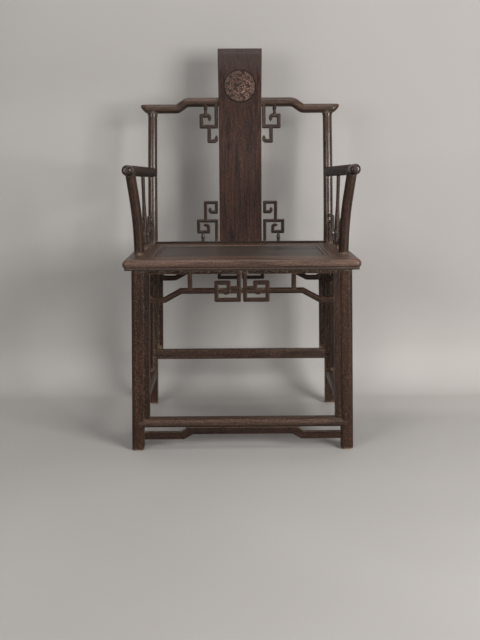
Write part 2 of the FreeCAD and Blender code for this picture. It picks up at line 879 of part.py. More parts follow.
def make_foot_strip(legs):
    """The humpback strip under the front stretcher."""
    low = strip_low_bottom
    high_top = front_stretcher_top - front_stretcher_height
    high = high_top - strip_high_height
    reach = leg_center(RIGHT, FRONT, low)[0]
    slope = strip_step_outer - strip_step_inner
    rise = high_top - low - strip_low_height
    top_inner = strip_step_outer - slope * rise / (high - low) + slope / 2
    outline = [(-reach, low), (-strip_step_outer, low), (-strip_step_inner, high),
               (strip_step_inner, high), (strip_step_outer, low), (reach, low),
               (reach, low + strip_low_height), (strip_step_outer + slope / 3, low + strip_low_height),
               (top_inner, high_top), (-top_inner, high_top),
               (-strip_step_outer - slope / 3, low + strip_low_height), (-reach, low + strip_low_height)]
    strip = flat_solid(outline, strip_depth)
    strip.translate(V(0, front_face(low) + strip_recess, 0))
    return strip.cut(legs)


# Under-seat frames, one on each side: an apron strip, two leg strips down to the
# stretcher, a humpback rail, two struts and a pair of key frets.
# Each is drawn flat, seen from outside, with 0 at the seat's underside and the middle
# of the span, then leaned to follow the legs.

frame_recess = 5.0
frame_depth = 14.0
apron_height = 12.4
leg_strip_width = 16.0
hump_height = 14.7
hump_low_drop = 79.6
hump_high_drop = 56.6
hump_ease = 4.5
hump_low_end_share = 0.845
hump_high_end_share = 0.665
hump_corner_radius = 9.0
strut_width = 12.0
strut_place_share = 0.566
strut_recess = 1.0
key_fret_proud = 3.0
key_fret_width = 71.4
key_fret_drop = 85.0
key_fret_rod = 10.6
key_fret_gap = 6.0
key_paths_shares = (
    (((0.113, 0.0), (0.113, -0.939), (0.925, -0.939), (0.925, -0.415), (0.48, -0.415), (0.48, -0.64)), 1),
    (((0.113, -0.588), (0.48, -0.588)), 0),
)

frame_order = ("front", "right", "back", "left")
quarter_turn = math.degrees(math.pi / 2)
stretcher_tops = {
    "front": front_stretcher_top,
    "right": side_stretcher_top,
    "back": back_stretcher_top,
    "left": side_stretcher_top,
}


def frame_span(name):
    """Half the gap between two legs at the seat, the gap's middle and the splays."""
    fx, fy = leg_center(RIGHT, FRONT, underside)
    by = leg_center(RIGHT, BACK, underside)[1]
    half_leg = leg_width / 2
    if name in ("front", "back"):
        return fx - half_leg, 0, leg_splay_side, leg_splay_depth
    return (by - fy) / 2 - half_leg, (by + fy) / 2, leg_splay_depth, leg_splay_side


def frame_place(name):
    """The middle of a frame's outer face, at the underside of the level seat."""
    middle = frame_span(name)[1]
    side_face = seat_width / 2 - leg_inset_side - frame_recess
    return {
        "front": V(0, leg_inset_front + frame_recess - seat_depth / 2, underside),
        "right": V(side_face, middle, underside),
        "back": V(0, seat_depth / 2 - leg_inset_back - frame_recess, underside),
        "left": V(-side_face, middle, underside),
    }[name]


def placed(shape, name):
    """A flat-drawn piece, leaned with the legs and turned to its side of the chair."""
    lean = frame_span(name)[3]
    shape = shape.copy()
    shape.rotate(V(0, 0, 0), V(1, 0, 0), -math.degrees(math.atan(lean / underside)))
    shape.rotate(V(0, 0, 0), V(0, 0, 1), frame_order.index(name) * quarter_turn)
    shape.translate(frame_place(name))
    return shape


def frame_drop(name):
    """How far the seat has fallen over the middle of a frame."""
    return seat_fall * (frame_place(name).y + seat_depth / 2) / seat_depth


def make_frame(name, legs, stretcher):
    """All the pieces of one under-seat frame."""
    half, _, splay, _ = frame_span(name)
    inner = half - leg_strip_width
    drop = frame_drop(name)
    deep = apron_height + drop
    seat = seat_slab(underside, seat_height)
    pieces = {}

    def strip_edge(z):
        return inner - z * splay / underside

    apron = flat_solid([(-half, 0), (half, 0), (strip_edge(-deep), -deep), (-strip_edge(-deep), -deep)],
                       frame_depth)
    pieces[name + "_apron"] = placed(apron, name).cut([legs, seat])

    outer = half + leg_edge_radius
    bottom = stretcher_tops[name] - underside - overrun
    shift = strip_edge(bottom) - inner
    for hand, sign in (("left", LEFT), ("right", RIGHT)):
        corners = [(sign * strip_edge(-deep), -deep), (sign * half, 0), (sign * outer, 0),
                   (sign * (outer + shift), bottom), (sign * (inner + shift), bottom)]
        strip = placed(flat_solid(corners, frame_depth), name)
        pieces[name + "_" + hand + "_leg_strip"] = strip.cut([legs, stretcher, seat])

    low, high = -hump_low_drop - drop, -hump_high_drop - drop
    thick = hump_height / 2
    low_end = inner * hump_low_end_share
    high_end = inner * hump_high_end_share
    shift = thick * (high - low) / (low_end - high_end) / 2
    corner = hump_corner_radius
    top = low + thick
    right_half = [(strip_edge(low - thick), low - thick), (strip_edge(top + corner), top + corner),
                  (strip_edge(top) - corner / 4, top + corner / 4), (strip_edge(top) - corner, top),
                  (low_end + shift, top), (high_end + shift, high + thick)]
    left_half = [(-x, z) for x, z in reversed(right_half)]
    under = [(-low_end + shift, low - thick), (-high_end + shift, high - thick),
             (high_end - shift, high - thick), (low_end - shift, low - thick)]
    hump = flat_solid(right_half + left_half + under, frame_depth)
    clear = strip_edge(top + corner) - same_place
    rims = edges_on(hump, lambda p: abs(p.y) < same_place and abs(p.x) < clear)
    rims += edges_on(hump, lambda p: abs(p.y - frame_depth) < same_place and abs(p.x) < clear)
    hump = hump.makeChamfer(hump_ease, rims)

    struts = []
    for sign in (LEFT, RIGHT):
        middle_x = sign * inner * strut_place_share
        side = strut_width / 2
        strut = box(middle_x - side, middle_x + side, strut_recess, strut_recess + strut_width, high, -deep)
        struts.append(strut.makeChamfer(fret_ease, edges_along(strut, V(0, 0, 1))).cut(hump))
    pieces[name + "_struts"] = placed(Part.makeCompound(struts), name)

    frets = []
    for sign in (LEFT, RIGHT):
        fret = fret_panel(key_paths_shares, key_fret_width, key_fret_drop, key_fret_rod, fret_depth)
        fret.translate(V(0, -key_fret_proud, -drop))
        above = box(-key_fret_width, 2 * key_fret_width, -overrun, overrun, 0, overrun)
        fret = fret.cut(above).cut(apron)
        frets.append(fret if sign == RIGHT else flipped(fret))
    pair = Part.makeCompound(frets)
    pieces[name + "_key_frets"] = placed(pair, name).cut(seat)
    pieces[name + "_humpback_rail"] = placed(hump.cut(pair), name)
    return pieces


# Frets of the back, beside the splat: one pair hangs from the crest rail, the other
# stands on the seat. Shares run out from the splat's edge and up from the lower end.

upper_fret_width = 57.5
upper_fret_height = 112.0
upper_fret_bottom = 801.5
upper_fret_rod = 10.8
upper_fret_forward = 9.0
hanger_top_share = 0.737
hanger_place_share = 0.685
upper_paths_shares = (
    (((0.13, 1.0), (0.13, 0.45), (0.905, 0.45), (0.905, hanger_top_share), (0.60, hanger_top_share)), 1),
    (((0.503, 0.45), (0.503, 0.067), (0.25, 0.067)), -1),
)
lower_fret_width = 68.4
lower_fret_height = 122.6
lower_fret_rod = 9.8
stem_top_share = 0.237
lower_paths_shares = (
    (((0.137, 0.0), (0.137, 0.506), (0.93, 0.506), (0.93, stem_top_share), (0.497, stem_top_share),
      (0.497, 0.35)), -1),
    (((0.614, 0.506), (0.614, 0.954), (0.137, 0.954), (0.137, 0.72), (0.33, 0.72)), 1),
)
stem_place_share = 0.743
stem_diameter = 12.4
stem_neck_diameter = 7.6


def back_plane_angle():
    """The lean of the back between two heights, in degrees."""
    low, high = post_center(upper_fret_bottom), post_center(crest_height)
    return math.degrees(math.atan2(high.y - low.y, high.z - low.z))


def turned_stem(height, root):
    """A small baluster with a round bulb between two necks, rooted in a rod below it."""
    sizes = (stem_neck_diameter, stem_diameter, stem_neck_diameter, stem_diameter, stem_diameter)
    heights = (height, height / 2, height / 4, 0, -root)
    outline = [V(0, 0, height)] + [V(size / 2, 0, z) for size, z in zip(sizes, heights)] + [V(0, 0, -root)]
    return Part.Face(Part.makePolygon(outline + outline[:1])).revolve(V(0, 0, 0), V(0, 0, 1), 360)


def upper_fret_shape():
    """The right hanging fret, before the crest rail and the splat are cut away."""
    fret = fret_panel(upper_paths_shares, upper_fret_width, upper_fret_height, upper_fret_rod, fret_depth)
    low = upper_fret_height * hanger_top_share
    stem = turned_stem(upper_fret_height - low, upper_fret_rod / 2)
    stem.translate(V(upper_fret_width * hanger_place_share, fret_depth / 2, low + upper_fret_rod / 2))
    fret = fret.fuse(stem)
    fret.translate(V(0, -fret_depth / 2, 0))
    fret.rotate(V(0, 0, 0), V(1, 0, 0), -back_plane_angle())
    base = post_center(upper_fret_bottom)
    fret.translate(V(splat_width / 2, base.y - upper_fret_forward, upper_fret_bottom))
    return fret


def lower_fret_shape():
    """The right standing fret, with its baluster stem."""
    rod = lower_fret_rod
    fret = fret_panel(lower_paths_shares, lower_fret_width, lower_fret_height, rod, rod)
    stem = turned_stem(lower_fret_height * stem_top_share - rod / 2, rod / 2)
    stem.translate(V(lower_fret_width * stem_place_share, rod / 2, 0))
    fret = fret.fuse(stem)
    fret.translate(V(splat_width / 2, splat_foot() - rod / 4, seat_height))
    below = box(-seat_width, seat_width, -seat_depth, seat_depth, underside, seat_height)
    return fret.cut(below)


# Frets under the arms, on the side rails: one on each side of the spindle.

side_fret_height = 88.0
side_fret_rod = 9.5
side_paths_shares = (
    (((0.0, 0.945), (0.50, 0.945), (0.50, 0.52), (0.19, 0.52), (0.19, 0.68)), -1),
    (((0.50, 0.52), (0.92, 0.52), (0.92, 0.23), (0.64, 0.23)), -1),
    (((0.19, 0.52), (0.19, 0.0)), 0),
    (((0.78, 0.23), (0.78, 0.0)), 0),
)


def side_fret(start, end, members):
    """A fret that stands on the side rail, from a post (start) to the spindle (end)."""
    across = end - start
    fret = fret_panel(side_paths_shares, across.Length, side_fret_height, side_fret_rod, side_fret_rod)
    fret.translate(V(0, -side_fret_rod / 2, 0))
    fret.rotate(V(0, 0, 0), V(0, 0, 1), math.degrees(math.atan2(across.y, across.x)))
    fret.translate(start)
    return settled(fret).cut([seat_slab(underside, seat_height)] + members)


def build():
    """Every piece, as a name and a shape."""
    pieces = {}
    shafts = {}
    for side in (LEFT, RIGHT):
        for end in (FRONT, BACK):
            shafts[side, end] = leg_shaft(side, end)
    legs = shafts[LEFT, FRONT].fuse([shafts[RIGHT, FRONT], shafts[LEFT, BACK], shafts[RIGHT, BACK]])

    crest = crest_shaft()
    post = post_shaft()
    arm = arm_shaft()
    arm_post = arm_post_shaft()
    spindle = spindle_shaft()
    board = splat_board()

    pieces.update(make_seat())
    pieces["seat_back_strip"] = make_back_strip(post)
    pieces["splat"] = make_splat()

    top = post_center(crest_height)
    pin_foot = V(top.x, top.y, crest_height - crest_diameter)
    pin_length = crest_diameter / 2 + post_pin_reach
    crest_pin = pin(pin_foot, V(0, 0, 1), post_pin_diameter / 2, pin_length)
    crest_hole = pin(pin_foot, V(0, 0, 1), post_pin_diameter / 2 + joint_clearance,
                     pin_length + joint_clearance)
    pieces["crest_rail"] = crest.cut([board, crest_hole, flipped(crest_hole)])

    back, tip = arm_axis(0), arm_axis(1)
    toward = tip - back
    toward.normalize()
    arm_reach = post_diameter / 2 + overrun
    arm_pin = pin(back + toward * arm_reach, -toward, arm_pin_diameter / 2,
                  overrun + arm_pin_length)
    arm_hole = pin(back + toward * arm_reach, -toward, arm_pin_diameter / 2 + joint_clearance,
                   overrun + arm_pin_length + joint_clearance)

    stretchers = {
        "front": make_front_stretcher(legs),
        "back": make_back_stretcher(legs),
        "left": make_side_stretcher(LEFT, legs),
        "right": make_side_stretcher(RIGHT, legs),
    }
    for name, shape in stretchers.items():
        pieces[name + "_stretcher"] = shape
    pieces["front_foot_strip"] = make_foot_strip(legs)

    lap = front_shoulder()
    for side, hand in ((LEFT, "left"), (RIGHT, "right")):
        front_middle = front_stretcher_top - front_stretcher_height / 2
        side_middle = side_stretcher_top - side_stretcher_height / 2
        back_middle = back_stretcher_top - back_stretcher_height / 2
        sockets = [lap,
                   stretcher_tenon(side, FRONT, True, front_middle, front_stretcher_height, joint_clearance),
                   stretcher_tenon(side, FRONT, False, side_middle, side_stretcher_height, joint_clearance)]
        cx, cy = leg_center(side, FRONT, underside)
        half = front_tenon_width / 2
        tenon = box(cx - half, cx + half, cy - half, cy + half,
                    underside - seat_fall, underside + front_tenon_height)
        pieces["front_" + hand + "_leg"] = shafts[side, FRONT].cut(sockets).fuse(tenon).removeSplitter()

        sockets = [stretcher_tenon(side, BACK, True, back_middle, back_stretcher_height, joint_clearance),
                   stretcher_tenon(side, BACK, False, side_middle, side_stretcher_height, joint_clearance)]
        upper = post.cut(crest).fuse(crest_pin).cut(arm_hole)
        pieces["back_" + hand + "_leg"] = shafts[side, BACK].cut(sockets).fuse(on_side(upper, side))

        base = seat_pin(arm_post_foot(), arm_post_pin_diameter, arm_post_pin_length)
        pieces[hand + "_arm_post"] = on_side(arm_post.cut(arm).fuse(base), side)
        base = seat_pin(spindle_foot(), spindle_pin_diameter, spindle_pin_length)
        pieces[hand + "_spindle"] = on_side(spindle.cut(arm).fuse(base), side)
        pieces[hand + "_arm"] = on_side(arm.cut(post).fuse(arm_pin), side)

        hanging = upper_fret_shape().cut([crest, board])
        pieces["upper_" + hand + "_fret"] = on_side(hanging, side)
        standing = lower_fret_shape().cut(board)
        pieces["lower_" + hand + "_fret"] = on_side(standing, side)

        members = [post, arm_post, spindle]
        rear = side_fret(post_center(seat_height), spindle_foot(), members)
        front = side_fret(arm_post_foot(), spindle_foot(), members)
        pieces[hand + "_rear_side_fret"] = on_side(rear, side)
        pieces[hand + "_front_side_fret"] = on_side(front, side)

    for name in frame_order:
        pieces.update(make_frame(name, legs, stretchers[name]))

    pads = []
    for side in (LEFT, RIGHT):
        for end in (FRONT, BACK):
            wires = [leg_outline(side, end, z, pad_inset) for z in (0, pad_thickness)]
            pads.append(Part.makeLoft(wires, True, True))
    pieces["foot_pads"] = Part.makeCompound(pads)
    return pieces


def main():
    os.makedirs("parts", exist_ok=True)
    pieces = build()
    whole = Part.makeCompound(list(pieces.values())).BoundBox
    shift = V(0, -(whole.YMin + whole.YMax) / 2, 0)
    for name, shape in pieces.items():
        shape = shape.copy()
        shape.translate(shift)
        shape.exportStep("parts/" + name + ".step")
    print(len(pieces), "pieces, box", whole, "moved by", shift)


main()
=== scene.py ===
import math

import bmesh
import bpy
import numpy as np
from mathutils import Matrix, Vector
from mathutils.bvhtree import BVHTree


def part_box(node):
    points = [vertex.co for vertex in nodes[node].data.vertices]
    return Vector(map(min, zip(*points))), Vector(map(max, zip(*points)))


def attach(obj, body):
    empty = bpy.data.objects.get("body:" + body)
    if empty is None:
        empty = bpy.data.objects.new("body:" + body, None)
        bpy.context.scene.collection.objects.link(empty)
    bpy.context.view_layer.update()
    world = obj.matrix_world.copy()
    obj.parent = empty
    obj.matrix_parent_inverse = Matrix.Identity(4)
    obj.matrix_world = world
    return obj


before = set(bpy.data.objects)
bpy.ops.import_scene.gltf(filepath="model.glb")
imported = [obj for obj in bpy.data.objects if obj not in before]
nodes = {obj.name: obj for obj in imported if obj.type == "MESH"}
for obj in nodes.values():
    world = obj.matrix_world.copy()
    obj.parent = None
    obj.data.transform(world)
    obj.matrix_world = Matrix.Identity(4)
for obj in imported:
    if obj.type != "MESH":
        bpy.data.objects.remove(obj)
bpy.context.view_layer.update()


# Seat frame: four mitred rails of dark rosewood with a round nose, planed by hand and
# rubbed with oil. The long rails run across the chair, the short ones run back.
# Every piece of the chair is cut from the same timber, so its figure is set up here.

def shader_group(name, inputs, outputs):
    """An empty node group with named sockets, and its two end nodes."""
    group = bpy.data.node_groups.new(name, "ShaderNodeTree")
    for label, kind, value in inputs:
        socket = group.interface.new_socket(label, in_out="INPUT", socket_type=kind)
        if value is not None:
            socket.default_value = value
    for label, kind in outputs:
        group.interface.new_socket(label, in_out="OUTPUT", socket_type=kind)
    return group, group.nodes.new("NodeGroupInput"), group.nodes.new("NodeGroupOutput")


def add_node(tree, kind, settings=None, **links):
    """A shader node. Vein_Scale gives its input Vein Scale a link or a value, _0 the first input."""
    node = tree.nodes.new(kind)
    for key, value in (settings or {}).items():
        setattr(node, key, value)
    for label, source in links.items():
        place = int(label[1:]) if label[1:].isdigit() else label.replace("_", " ")
        if isinstance(source, bpy.types.NodeSocket):
            tree.links.new(source, node.inputs[place])
        else:
            node.inputs[place].default_value = source
    return node


def between(tree, value, low, high, out_low=0.0, out_high=1.0):
    """A value eased from one range to another, and held at its ends."""
    node = add_node(tree, "ShaderNodeMapRange", {"interpolation_type": "SMOOTHSTEP"}, Value=value,
                    From_Min=low, From_Max=high, To_Min=out_low, To_Max=out_high)
    return node.outputs["Result"]


def maths(tree, operation, *values):
    """One sum on numbers."""
    places = {"_" + str(place): value for place, value in enumerate(values)}
    return add_node(tree, "ShaderNodeMath", {"operation": operation}, **places).outputs[0]


def vector_maths(tree, operation, *values):
    """One sum on vectors, which answers with a Vector or a Value."""
    places = {"_" + str(place): value for place, value in enumerate(values)}
    return add_node(tree, "ShaderNodeVectorMath", {"operation": operation}, **places).outputs


def times(tree, first, second):
    """Two numbers multiplied."""
    return maths(tree, "MULTIPLY", first, second)


def scaled(tree, vector, scale):
    """A vector stretched by a different amount on each axis."""
    return vector_maths(tree, "MULTIPLY", vector, scale)["Vector"]


def blended(tree, share, first, second, mode="MIX"):
    """Two colours mixed by a share."""
    node = add_node(tree, "ShaderNodeMix", {"data_type": "RGBA", "blend_type": mode}, _0=share)
    for place, source in ((6, first), (7, second)):
        if isinstance(source, bpy.types.NodeSocket):
            tree.links.new(source, node.inputs[place])
        else:
            node.inputs[place].default_value = (*source, 1.0)
    return node.outputs[2]


def own_place(tree):
    """Where a point of a piece lies, in metres."""
    return tree.nodes.new("ShaderNodeTexCoord").outputs["Object"]


def own_axes(tree):
    """The same place as X, Y and Z apart."""
    return add_node(tree, "ShaderNodeSeparateXYZ", Vector=own_place(tree)).outputs


def rosewood_figure():
    """Dark veins, fine fibres and short open pores, all drawn out along the third axis."""
    layers = ("Vein", "Streak", "Fibre", "Pore", "Mottle", "Cloud")
    group, given, out = shader_group(
        "rosewood figure",
        [("Vector", "NodeSocketVector", None), ("Vein Scale", "NodeSocketFloat", 60.0)],
        [(layer, "NodeSocketFloat") for layer in layers])

    def drawn_out(layer, grain_share, low, high, **noise):
        """One layer: noise stretched along the grain, then sharpened between two levels."""
        place = scaled(group, given.outputs["Vector"], (1.0, 1.0, grain_share))
        cells = add_node(group, "ShaderNodeTexNoise", Vector=place, **noise)
        group.links.new(between(group, cells.outputs[0], low, high), out.inputs[layer])

    drawn_out("Vein", grain_share=0.07, low=0.47, high=0.66, Scale=given.outputs["Vein Scale"],
              Detail=5.0, Roughness=0.62, Distortion=0.5)
    drawn_out("Streak", grain_share=0.02, low=0.38, high=0.64, Scale=190.0,
              Detail=4.0, Roughness=0.65, Distortion=0.2)
    drawn_out("Fibre", grain_share=0.02, low=0.34, high=0.66, Scale=520.0, Detail=3.0, Roughness=0.6)
    drawn_out("Pore", grain_share=0.05, low=0.62, high=0.72, Scale=1300.0, Detail=1.0)
    drawn_out("Mottle", grain_share=0.4, low=0.39, high=0.61, Scale=430.0, Detail=4.0, Roughness=0.8)
    drawn_out("Cloud", grain_share=0.35, low=0.32, high=0.68, Scale=9.0, Detail=2.0)
    return group


def years_of_use():
    """Masks of rubbed edges, partly a painted edge highlight, of dust near the joints and of painted shade
    on what faces down, and an eased normal.
    """
    group, given, out = shader_group(
        "years of use",
        [("Vector", "NodeSocketVector", None), ("Ease", "NodeSocketFloat", 0.002),
         ("Reach", "NodeSocketFloat", 0.016), ("Spread", "NodeSocketFloat", 0.0)],
        [("Rubbed And Highlit", "NodeSocketFloat"), ("Dusty", "NodeSocketFloat"), ("Under", "NodeSocketFloat"),
         ("Normal", "NodeSocketVector")])
    place = given.outputs["Vector"]
    eased = add_node(group, "ShaderNodeBevel", {"samples": 6}, Radius=given.outputs["Ease"]).outputs[0]
    flat = group.nodes.new("ShaderNodeNewGeometry").outputs["Normal"]
    match = vector_maths(group, "DOT_PRODUCT", eased, flat)["Value"]
    patches = add_node(group, "ShaderNodeTexNoise", Vector=place, Scale=95.0, Detail=4.0, Roughness=0.65)
    # Rubbed edges: pale wear, partly a painted edge highlight.
    rubbed_and_highlit = times(group, between(group, match, low=0.999, high=0.93),
                   between(group, patches.outputs[0], low=0.38, high=0.6, out_low=0.25))
    open_air = add_node(group, "ShaderNodeAmbientOcclusion", {"samples": 8},
                        Distance=given.outputs["Reach"]).outputs["AO"]
    specks = add_node(group, "ShaderNodeTexNoise", Vector=place, Scale=330.0, Detail=3.0, Roughness=0.75)
    thick = times(group, between(group, open_air, low=0.80, high=0.40),
                  between(group, specks.outputs[0], low=0.40, high=0.60, out_low=0.15))
    nearby = maths(group, "MAXIMUM", between(group, open_air, low=0.98, high=0.70), given.outputs["Spread"])
    flecks = times(group, nearby, between(group, specks.outputs[0], low=0.54, high=0.66))
    facing = add_node(group, "ShaderNodeSeparateXYZ", Vector=eased)
    group.links.new(rubbed_and_highlit, out.inputs["Rubbed And Highlit"])
    group.links.new(maths(group, "MAXIMUM", thick, flecks), out.inputs["Dusty"])
    # Painted shade: what faces down is masked to be darkened.
    group.links.new(between(group, facing.outputs["Z"], low=0.30, high=-0.80), out.inputs["Under"])
    group.links.new(eased, out.inputs["Normal"])
    return group


figure_group = rosewood_figure()
wear_and_painted_light_group = years_of_use()
along_x = (0.0, math.radians(90), 0.0)
along_y = (math.radians(90), 0.0, 0.0)
along_z = (0.0, 0.0, 0.0)
dust_colour = (0.38, 0.288, 0.205)
# Rubbed colour: pale worn wood that also serves as a painted edge highlight.
rubbed_and_highlight_colour = (0.155, 0.095, 0.066)
pore_share = 0.4
fibre_rise, fibre_drop = 0.07, 0.03
dust_roughness = 0.35
pore_depth_share = 1.4
grain_strength, grain_height = 0.4, 0.0003
oil_roughness = 0.22


def rosewood(name, run, pale, heart, vein, vein_scale=60.0, dust=0.55, rubbing_and_highlight=0.35,
             roughness=0.40, shine=0.35, mottled=0.35, coat=0.0, flecked=0.0):
    """One finish of the timber, with its grain along a run of the piece."""
    material = bpy.data.materials.new(name)
    material.use_nodes = True
    tree = material.node_tree
    shader = tree.nodes["Principled BSDF"]
    place = own_place(tree)
    grain = add_node(tree, "ShaderNodeMapping", Vector=place, Rotation=run).outputs[0]
    figure = add_node(tree, "ShaderNodeGroup", {"node_tree": figure_group}, Vector=grain,
                      Vein_Scale=vein_scale).outputs
    use = add_node(tree, "ShaderNodeGroup", {"node_tree": wear_and_painted_light_group}, Vector=place,
                   Spread=flecked).outputs
    darkest = tuple(channel * pore_share for channel in vein)
    wood = blended(tree, figure["Streak"], heart, pale)
    for mask, share, colour in ((figure["Fibre"], 0.4, pale), (figure["Cloud"], 0.4, heart),
                                (figure["Vein"], 0.7, vein), (figure["Pore"], 0.75, darkest)):
        wood = blended(tree, times(tree, mask, share), wood, colour)
    specks = between(tree, figure["Mottle"], low=0.0, high=1.0, out_low=0.1, out_high=1.9)
    wood = blended(tree, mottled, wood, specks, "MULTIPLY")
    # Painted shade darkens what faces down; dust lies near the joints.
    for mask, share, colour in ((use["Under"], 0.75, darkest), (use["Rubbed And Highlit"], rubbing_and_highlight, rubbed_and_highlight_colour),
                                (use["Dusty"], dust, dust_colour)):
        wood = blended(tree, times(tree, mask, share), wood, colour)
    tree.links.new(wood, shader.inputs["Base Color"])
    smooth = between(tree, figure["Fibre"], 0.0, 1.0, roughness + fibre_rise, roughness - fibre_drop)
    rough = add_node(tree, "ShaderNodeMath", {"operation": "ADD", "use_clamp": True}, _0=smooth,
                     _1=times(tree, use["Dusty"], dust_roughness))
    tree.links.new(rough.outputs[0], shader.inputs["Roughness"])
    relief = maths(tree, "SUBTRACT", figure["Streak"], times(tree, figure["Pore"], pore_depth_share))
    bump = add_node(tree, "ShaderNodeBump", Strength=grain_strength, Distance=grain_height,
                    Height=relief, Normal=use["Normal"])
    tree.links.new(bump.outputs[0], shader.inputs["Normal"])
    shader.inputs["Specular IOR Level"].default_value = shine
    shader.inputs["Coat Weight"].default_value = coat
    shader.inputs["Coat Roughness"].default_value = oil_roughness
    return material


def finish_with(material, names):
    """Gives one finish to several solids of the chair."""
    for name in names:
        node = nodes[name]
        node.data.materials.clear()
        node.data.materials.append(material)


def stained(material, mask, colour):
    """Blends a colour over a finish, as far as a mask says."""
    tree = material.node_tree
    base = tree.nodes["Principled BSDF"].inputs["Base Color"]
    tree.links.new(blended(tree, mask, base.links[0].from_socket, colour), base)


seat_pale, seat_heart, seat_vein = (0.172, 0.096, 0.065), (0.090, 0.048, 0.033), (0.024, 0.012, 0.008)
long_rail = rosewood("rosewood of the long seat rails", along_x, seat_pale, seat_heart, seat_vein, dust=0.9,
                     mottled=0.45, shine=0.5)
short_rail = rosewood("rosewood of the short seat rails", along_y, seat_pale, seat_heart, seat_vein,
                      dust=0.9, mottled=0.45, shine=0.5)

nose_shade = (0.010, 0.005, 0.003)
nose_shade_from, nose_shade_full = 0.4905, 0.4875
nose_shade_share = 0.85
rail_tree = long_rail.node_tree
stained(long_rail, between(rail_tree, own_axes(rail_tree)["Z"], nose_shade_from, nose_shade_full,
                           out_high=nose_shade_share), nose_shade)

opening_half_width, opening_half_depth, opening_middle = 0.220, 0.1325, -0.0410
groove_offset, groove_half = 0.0103, 0.0018
worn_edge_offset = groove_offset + 0.0030
# The groove's dark band is dirt and painted shade, drawn wider than the groove.
groove_dirt_and_shade, groove_dirt_and_shade_share = (0.010, 0.006, 0.004), 0.85
worn_edge, worn_edge_share = (0.30, 0.21, 0.15), 0.55
front_share = 0.4


def line_the_bead(material):
    """Draws the groove beside the bead round the panel: dark with dirt and painted shade, its far edge
    rubbed pale.

    Along the front and back it is drawn wider, by the front share.
    """
    tree = material.node_tree
    from_middle = vector_maths(tree, "SUBTRACT", own_place(tree), (0.0, opening_middle, 0.0))["Vector"]
    mirrored = vector_maths(tree, "ABSOLUTE", from_middle)["Vector"]
    past = vector_maths(tree, "SUBTRACT", mirrored,
                        (opening_half_width, opening_half_depth, 0.0))["Vector"]
    widened = vector_maths(tree, "MULTIPLY_ADD", past, (1.0, front_share, 0.0),
                           (0.0, groove_offset * (1.0 - front_share), 0.0))["Vector"]
    apart = add_node(tree, "ShaderNodeSeparateXYZ", Vector=widened).outputs
    outside = maths(tree, "MAXIMUM", apart["X"], apart["Y"])
    for offset, share, colour in ((worn_edge_offset, worn_edge_share, worn_edge),
                                  (groove_offset, groove_dirt_and_shade_share, groove_dirt_and_shade)):
        off = maths(tree, "ABSOLUTE", maths(tree, "SUBTRACT", outside, offset))
        stained(material, between(tree, off, groove_half, groove_half / 2, out_high=share), colour)


line_the_bead(long_rail)
line_the_bead(short_rail)
finish_with(long_rail, ["seat_front_rail", "seat_back_rail"])
finish_with(short_rail, ["seat_left_rail", "seat_right_rail"])


# Seat panel: one flat board that floats in the grooves of the rails, held by two battens.
# Its grain runs across the chair, and sitting has left it duller than the rails.

panel_pale, panel_heart, panel_vein = (0.116, 0.090, 0.074), (0.055, 0.041, 0.035), (0.018, 0.013, 0.011)
finish_with(rosewood("rosewood of the seat panel", along_x, panel_pale, panel_heart, panel_vein,
                     vein_scale=32.0, rubbing_and_highlight=0.2),
            ["seat_panel"])
finish_with(rosewood("rosewood of the battens", along_y, seat_heart, seat_vein, seat_vein),
            ["seat_left_batten", "seat_right_batten"])


# Legs and back posts: square inside and round outside under the seat, and round above
# it. They are worn brown where hands and feet meet them, and stand on pale bare feet.

leg_pale, leg_heart, leg_vein = (0.064, 0.027, 0.015), (0.028, 0.011, 0.006), (0.010, 0.005, 0.003)
post_pale, post_heart = (0.090, 0.044, 0.027), (0.042, 0.018, 0.011)
foot_pale, foot_heart, foot_vein = (0.62, 0.56, 0.48), (0.50, 0.44, 0.36), (0.30, 0.24, 0.18)
post_polish_from, post_polish_full, post_polish = 0.50, 0.62, 0.55
finish_with(rosewood("rosewood of the front legs", along_z, leg_pale, leg_heart, leg_vein, vein_scale=85.0,
                     dust=0.9, mottled=0.8, flecked=0.28, shine=0.25),
            ["front_left_leg", "front_right_leg"])
post_finish = rosewood("rosewood of the back posts", along_z, post_pale, post_heart, leg_vein,
                       vein_scale=85.0, dust=0.9, mottled=0.6, roughness=0.33, flecked=0.12)


def polished_by_hands(material, axis, start, full, amount):
    """A glossier skin from one place on an axis to another, where hands have rubbed the wood."""
    tree = material.node_tree
    tree.links.new(between(tree, own_axes(tree)[axis], start, full, out_high=amount),
                   tree.nodes["Principled BSDF"].inputs["Coat Weight"])


polished_by_hands(post_finish, "Z", post_polish_from, post_polish_full, post_polish)
finish_with(post_finish, ["back_left_leg", "back_right_leg"])
finish_with(rosewood("bare wood of the feet", along_z, foot_pale, foot_heart, foot_vein, roughness=0.7),
            ["foot_pads"])


# Stretchers: four bars between the legs, each tenoned in. The front one is half round
# and rubbed by shoes, over a humpback strip sawn from a thin board.

bar_pale, bar_heart, bar_vein = (0.115, 0.064, 0.044), (0.058, 0.031, 0.021), (0.018, 0.009, 0.006)
for length, run, bars in (("long", along_x, ["front_stretcher", "back_stretcher"]),
                          ("short", along_y, ["left_stretcher", "right_stretcher"])):
    finish_with(rosewood("rosewood of the " + length + " stretchers", run, bar_pale, bar_heart, bar_vein,
                         dust=0.8, mottled=0.6, flecked=0.12), bars)


# Frames under the seat: on each side an apron, two strips down the legs, a humpback
# rail, two struts and a pair of key frets, all thin dark stock that few hands polish.
# The humpback strip under the front stretcher and the low back strip are cut from it too.

